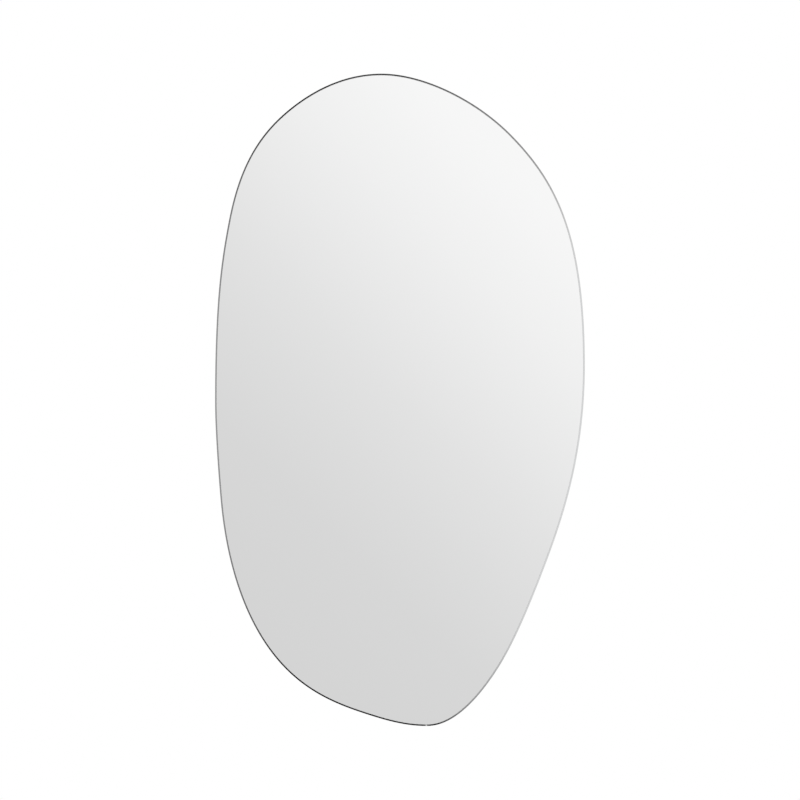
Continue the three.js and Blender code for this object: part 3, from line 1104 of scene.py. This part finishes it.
def placeBumpers():
    source = roundedProfile("bumper", bumpers["profile"], bumpers["corner"], segments=4)
    spinRound(source, bumpers["sides"])
    smooth(source)
    rubber = mouldedRubber()
    screw = makeScrew("bumperScrew", bumpers["seat"])
    for number in range(1, bumpers["count"] + 1):
        node = "wall_bumper_" + str(number)
        place = middleOf(node)
        place.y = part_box(node)[0].y
        dress(copyTo(source, "rubber_" + node, place), [rubber], "mirror", "bumper", node)
        placeScrew(screw, "bumper_screw_" + str(number), number)
    bpy.data.objects.remove(source)
    bpy.data.objects.remove(screw)
    print("bumpers:", bumpers["count"])


placeBumpers()

# the tape's solids keep their shape and get the foam's finish

tape = {
    "foam": ((0.74, 0.73, 0.7), (0.82, 0.81, 0.79)),
    # the darker tone is painted shade in the cells' hollows
    "paintedPitShade": (0.6, 0.59, 0.56),
    "rough": (0.75, 0.95),
}


def closedFoam():
    material, tree, shader, where = newMaterial("closed cell foam", {"Specular IOR Level": 0.3})
    sockets = {"Vector": where, "Scale": 2600.0}
    cells = addNode(tree, "ShaderNodeTexVoronoi", sockets).outputs["Distance"]
    tone = placeGroup(tree, grain, where, {"Fine": 500.0, "Coarse": 30.0})
    white = mixOf(tree, tone["Drift"], *tape["foam"])
    # painted shade in the cells' hollows, darkest at their middles where the bump sinks deepest
    shadedPits = rangeOf(tree, cells, 0.0, 0.6, 0.5, 0.0)
    feed(tree, shader, {
        "Base Color": mixOf(tree, shadedPits, white, tape["paintedPitShade"]),
        "Roughness": rangeOf(tree, tone["Grain"], *wideSpan, *tape["rough"]),
    })
    bumpOf(tree, shader, cells, strength=0.5, depth=0.15)
    return material


def finishTape():
    foam = closedFoam()
    strips = [piece for node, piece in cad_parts.items() if node.startswith("mounting_tape")]
    for strip in strips:
        strip.data.materials.clear()
        strip.data.materials.append(foam)
    print("tape:", len(strips), "strips")


finishTape()

# lights, camera and background

studio = {
    "distance": 3.5,  # metres from the camera to the band's front
    "lens": 102.82,
    "across": 0.06,
    "above": -0.3,
    "floor": -1.1,
    "floorSize": 12,
    "floorTones": ((0.87, 0.87, 0.87), (0.9, 0.9, 0.9)),
    "floorShow": 0.45,  # how much of the floor below the mirror is lit, not plain background
    "floorFade": (0.9, 2.2),  # metres from the middle at which the lit part starts and ends to fade
    "ambient": 0.62,
    # place, width, power
    "lamps": [
        ((1.7, -2.3, 1.9), 1.6, 26),
        ((-2.1, -1.6, 0.9), 1.8, 12),
        ((-1.5, 2.4, 1.7), 1.6, 24),
        ((1.9, 1.9, 0.4), 1.8, 11),
    ],
    # what the mirror shows of the studio: (x + z) / distance of the look, and level
    "ahead": [
        (-0.2, 0.684), (-0.1314, 0.7), (-0.0876, 0.715), (-0.0438, 0.754), (0, 0.8),
        (0.0438, 0.858), (0.0876, 0.914), (0.1314, 0.96), (0.149, 0.975), (0.3, 1.0),
    ],
    # what a side facing surface shows, by degrees anticlockwise from the right
    "around": [
        (-180, 0.47), (-163, 0.28), (-135, 0.01), (-78, 0.01), (-60, 0.23), (-40, 0.54),
        (-27, 0.94), (0, 0.94), (10, 0.93), (21, 0.84), (38, 0.45), (59, 0.23),
        (83, 0.05), (131, 0.01), (159, 0.2), (180, 0.47),
    ],
    # what shows behind the mirror, by the height of the look
    "behind": [(-0.5, 0.7), (0.6, 1.0)],
    # how far forward or back the look goes where the side gives way to what is there
    "aheadFrom": (0.33, 0.5),
    "behindFrom": (0.5, 0.8),
    "leastDepth": 0.2,
}


# a grey by value, each stop a place and a level
def rampOf(tree, value, stops):
    low, high = stops[0][0], stops[-1][0]
    share = rangeOf(tree, value, low, high, 0.0, 1.0)
    ramp = addNode(tree, "ShaderNodeValToRGB", {"Fac": share})
    entries = ramp.color_ramp.elements
    entries.remove(entries[0])
    for number, (place, level) in enumerate(stops):
        position = (place - low) / (high - low)
        entry = entries[0] if number == 0 else entries.new(position)
        entry.position = position
        entry.color = (level, level, level, 1)
    return ramp.outputs["Color"]


# one for what the camera sees, straight or by metal and glass, and nought for what only lights
def seenOrMirrored(tree):
    path = addNode(tree, "ShaderNodeLightPath").outputs
    seen = mathOf(tree, "MAXIMUM", path["Is Camera Ray"], path["Is Glossy Ray"])
    return mathOf(tree, "MAXIMUM", seen, path["Is Transmission Ray"])


def makeWorld():
    world = bpy.data.worlds.new("studio")
    bpy.context.scene.world = world
    world.use_nodes = True
    tree = world.node_tree
    look = addNode(tree, "ShaderNodeTexCoord").outputs["Generated"]
    x, y, z = addNode(tree, "ShaderNodeSeparateXYZ", {0: look}).outputs
    forwards = timesOf(tree, y, -1.0)
    depth = mathOf(tree, "MAXIMUM", forwards, studio["leastDepth"])
    slant = mathOf(tree, "DIVIDE", mathOf(tree, "ADD", x, z), depth)
    turn = mathOf(tree, "ARCTAN2", z, x)
    sides = [(math.radians(degrees), level) for degrees, level in studio["around"]]
    ahead = rampOf(tree, slant, studio["ahead"])
    around = rampOf(tree, turn, sides)
    behind = rampOf(tree, z, studio["behind"])
    facingBack = rangeOf(tree, y, *studio["behindFrom"], 0.0, 1.0)
    facingFront = rangeOf(tree, forwards, *studio["aheadFrom"], 0.0, 1.0)
    mirrored = mixOf(tree, facingFront, mixOf(tree, facingBack, around, behind), ahead)
    byCamera = addNode(tree, "ShaderNodeLightPath").outputs["Is Camera Ray"]
    backdrop = mixOf(tree, byCamera, mirrored, (1, 1, 1))
    colour = mixOf(tree, seenOrMirrored(tree), (studio["ambient"],) * 3, backdrop)
    feed(tree, tree.nodes["Background"], {"Color": colour})


def paleFloor():
    material, tree, shader, where = newMaterial("pale floor", {"Specular IOR Level": 0.1})
    mottle = placeGroup(tree, grain, where, {"Fine": 90.0, "Coarse": 3.0})
    feed(tree, shader, {
        "Base Color": mixOf(tree, mottle["Drift"], *studio["floorTones"]),
        "Roughness": rangeOf(tree, mottle["Grain"], *wideSpan, 0.8, 0.95),
    })
    plain = addNode(tree, "ShaderNodeEmission", {"Color": (1, 1, 1, 1), "Strength": 1.0})
    away = addNode(tree, "ShaderNodeVectorMath", {0: where}, operation="LENGTH").outputs["Value"]
    unlit = rangeOf(tree, away, *studio["floorFade"], 1 - studio["floorShow"], 1.0)
    share = timesOf(tree, seenOrMirrored(tree), unlit)
    sockets = {0: share, 1: shader.outputs[0], 2: plain.outputs[0]}
    mixed = addNode(tree, "ShaderNodeMixShader", sockets).outputs[0]
    feed(tree, tree.nodes["Material Output"], {"Surface": mixed})
    return material


def makeFloor():
    deselect()
    place = (0, 0, studio["floor"])
    bpy.ops.mesh.primitive_plane_add(size=studio["floorSize"], location=place)
    floor = bpy.context.object
    floor.name = "floor"
    floor.data.materials.append(paleFloor())
    floor.visible_glossy = False


def makeLamps():
    for number, (place, width, power) in enumerate(studio["lamps"]):
        aim = (-Vector(place)).to_track_quat("-Z", "Y").to_euler()
        bpy.ops.object.light_add(type="AREA", location=place, rotation=aim)
        lamp = bpy.context.object
        lamp.name = "softLamp" + str(number + 1)
        lamp.data.shape = "DISK"
        lamp.data.size = width
        lamp.data.energy = power
        lamp.visible_glossy = False


def makeCamera():
    low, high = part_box("edge_band")
    place = (studio["across"] * mm, low.y - studio["distance"], studio["above"] * mm)
    bpy.ops.object.camera_add(location=place, rotation=(math.pi / 2, 0, 0))
    camera = bpy.context.object
    camera.data.sensor_width = 36
    camera.data.lens = studio["lens"]
    camera.data.clip_end = 50
    bpy.context.scene.camera = camera


makeWorld()
makeFloor()
makeLamps()
makeCamera()
print("studio: floor,", len(studio["lamps"]), "lamps and camera")
bpy.context.scene.view_settings.view_transform = "Standard"
